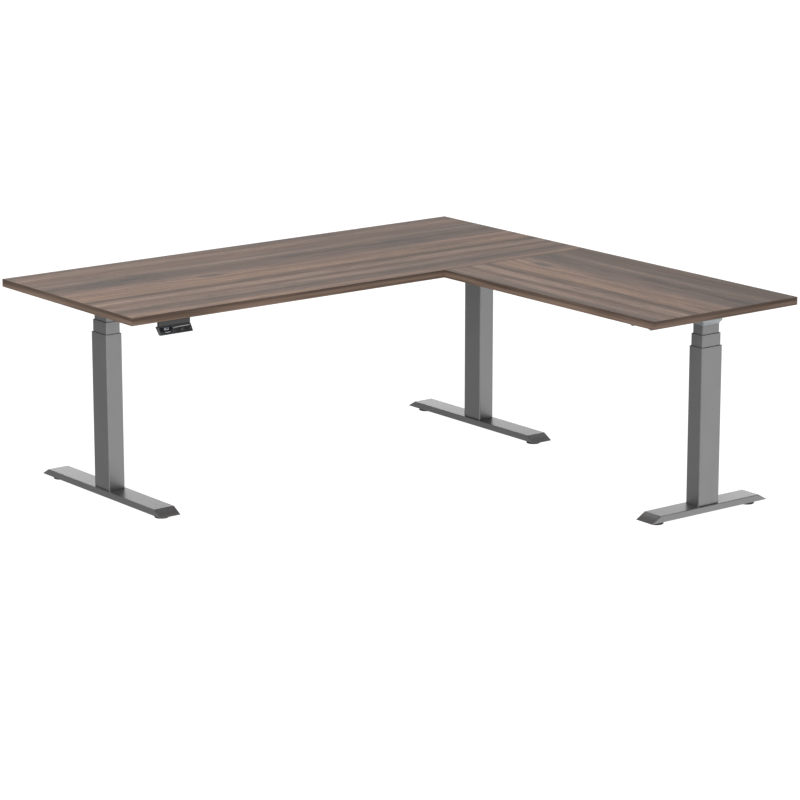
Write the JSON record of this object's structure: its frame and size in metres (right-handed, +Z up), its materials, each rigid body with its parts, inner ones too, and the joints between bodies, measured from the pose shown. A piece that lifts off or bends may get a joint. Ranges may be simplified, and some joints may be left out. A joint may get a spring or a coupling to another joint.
{
  "type": "height adjustable standing desk",
  "caption": "L-shaped electric sit-stand desk: two walnut laminate tops on three telescoping steel columns with bar feet, a hand controller and an underslung drive frame.",
  "frame": {"origin": "on the floor, under the centre of the outline of the two desktops", "axes": "+X along the main desktop towards the return, +Y from the front edge of the main desktop to its rear edge, +Z up"},
  "size_m": [1.8, 1.75, 0.6625],
  "materials": {
    "walnut_laminate": "matt walnut-look laminate, strips of muted grey-brown grain",
    "frame_paint": "satin mid-grey powder coat",
    "housing_paint": "light grey cast casing",
    "black_plastic": "moulded black, fine matt texture",
    "key_plastic": "smooth black keys",
    "window": "dark tinted display cover",
    "nut_plastic": "natural acetal",
    "steel": "bright rolled screw",
    "motor_can": "black enamelled motor can"
  },
  "bodies": {
    "base": {"left_foot": "frame_paint", "left_outer_tube": "frame_paint", "left_outer_guide": "black_plastic", "left_fixed_screw": "steel", "middle_foot": "frame_paint", "middle_outer_tube": "frame_paint", "middle_outer_guide": "black_plastic", "middle_fixed_screw": "steel", "right_foot": "frame_paint", "right_outer_tube": "frame_paint", "right_outer_guide": "black_plastic", "right_fixed_screw": "steel"},
    "middle_stages": {"left_middle_tube": "frame_paint", "left_middle_guide": "black_plastic", "left_lift_nut": "nut_plastic", "middle_middle_tube": "frame_paint", "middle_middle_guide": "black_plastic", "middle_lift_nut": "nut_plastic", "right_middle_tube": "frame_paint", "right_middle_guide": "black_plastic", "right_lift_nut": "nut_plastic"},
    "top": {"left_inner_tube": "frame_paint", "left_gear_housing": "housing_paint", "left_side_bracket": "frame_paint", "left_motor": "motor_can", "middle_inner_tube": "frame_paint", "middle_gear_housing": "housing_paint", "middle_side_bracket": "frame_paint", "middle_motor": "motor_can", "right_inner_tube": "frame_paint", "right_gear_housing": "housing_paint", "right_side_bracket": "frame_paint", "right_motor": "motor_can", "main_desktop": "walnut_laminate", "return_desktop": "walnut_laminate", "main_rail_front": "frame_paint", "main_rail_rear": "frame_paint", "return_rail_left": "frame_paint", "return_rail_right": "frame_paint", "return_joint_plate": "frame_paint", "seam_plate_left": "frame_paint", "seam_plate_right": "frame_paint", "control_box_case": "black_plastic", "control_box_lid": "black_plastic", "power_inlet": "black_plastic", "controller_mount": "black_plastic", "controller_case": "black_plastic", "display_window": "window"},
    "left_spindle": {"left_drive_spindle": "steel"},
    "middle_spindle": {"middle_drive_spindle": "steel"},
    "right_spindle": {"right_drive_spindle": "steel"},
    "left_glide_rear": {"left_glide_rear": "black_plastic"},
    "left_glide_front": {"left_glide_front": "black_plastic"},
    "middle_glide_front": {"middle_glide_front": "black_plastic"},
    "middle_glide_rear": {"middle_glide_rear": "black_plastic"},
    "right_glide_left": {"right_glide_left": "black_plastic"},
    "right_glide_right": {"right_glide_right": "black_plastic"},
    "memory_key": {"memory_key": "key_plastic"},
    "up_key": {"up_key": "key_plastic"},
    "down_key": {"down_key": "key_plastic"}
  },
  "joints": [
    {"name": "lower_lift", "type": "slide", "parent": "base", "child": "middle_stages", "axis": [0, 0, 1], "range_m": [-0.0185, 0.3065]},
    {"name": "upper_lift", "type": "slide", "parent": "middle_stages", "child": "top", "axis": [0, 0, 1], "range_m": [-0.0185, 0.3065]},
    {"name": "left_spindle_turn", "type": "hinge", "parent": "top", "child": "left_spindle", "pos_m": [-0.752, 0.5, 0.35], "axis": [0, 0, 1], "range_deg": [-700, 11100]},
    {"name": "middle_spindle_turn", "type": "hinge", "parent": "top", "child": "middle_spindle", "pos_m": [0.752, 0.5, 0.35], "axis": [0, 0, 1], "range_deg": [-700, 11100]},
    {"name": "right_spindle_turn", "type": "hinge", "parent": "top", "child": "right_spindle", "pos_m": [0.6, -0.786, 0.35], "axis": [0, 0, 1], "range_deg": [-700, 11100]},
    {"name": "left_glide_rear_turn", "type": "hinge", "parent": "base", "child": "left_glide_rear", "pos_m": [-0.752, 0.793, 0], "axis": [0, 0, 1], "range_deg": [-2880, 0]},
    {"name": "left_glide_front_turn", "type": "hinge", "parent": "base", "child": "left_glide_front", "pos_m": [-0.752, 0.207, 0], "axis": [0, 0, 1], "range_deg": [-2880, 0]},
    {"name": "middle_glide_front_turn", "type": "hinge", "parent": "base", "child": "middle_glide_front", "pos_m": [0.752, 0.207, 0], "axis": [0, 0, 1], "range_deg": [-2880, 0]},
    {"name": "middle_glide_rear_turn", "type": "hinge", "parent": "base", "child": "middle_glide_rear", "pos_m": [0.752, 0.793, 0], "axis": [0, 0, 1], "range_deg": [-2880, 0]},
    {"name": "right_glide_left_turn", "type": "hinge", "parent": "base", "child": "right_glide_left", "pos_m": [0.408, -0.786, 0], "axis": [0, 0, 1], "range_deg": [-2880, 0]},
    {"name": "right_glide_right_turn", "type": "hinge", "parent": "base", "child": "right_glide_right", "pos_m": [0.792, -0.786, 0], "axis": [0, 0, 1], "range_deg": [-2880, 0]},
    {"name": "memory_key_press", "type": "slide", "parent": "top", "child": "memory_key", "axis": [0, 0.848, -0.5299], "range_m": [0, 0.0012], "stiffness_N_per_m": 700, "springref_m": -0.0008},
    {"name": "up_key_press", "type": "slide", "parent": "top", "child": "up_key", "axis": [0, 0.848, -0.5299], "range_m": [0, 0.0012], "stiffness_N_per_m": 700, "springref_m": -0.0008},
    {"name": "down_key_press", "type": "slide", "parent": "top", "child": "down_key", "axis": [0, 0.848, -0.5299], "range_m": [0, 0.0012], "stiffness_N_per_m": 700, "springref_m": -0.0008}
  ],
  "couplings": [
    {"joint": "upper_lift", "follows": "lower_lift", "ratio": 1},
    {"joint": "left_spindle_turn", "follows": "lower_lift", "rad_per_m": 628.32},
    {"joint": "middle_spindle_turn", "follows": "lower_lift", "rad_per_m": 628.32},
    {"joint": "right_spindle_turn", "follows": "lower_lift", "rad_per_m": 628.32}
  ]
}
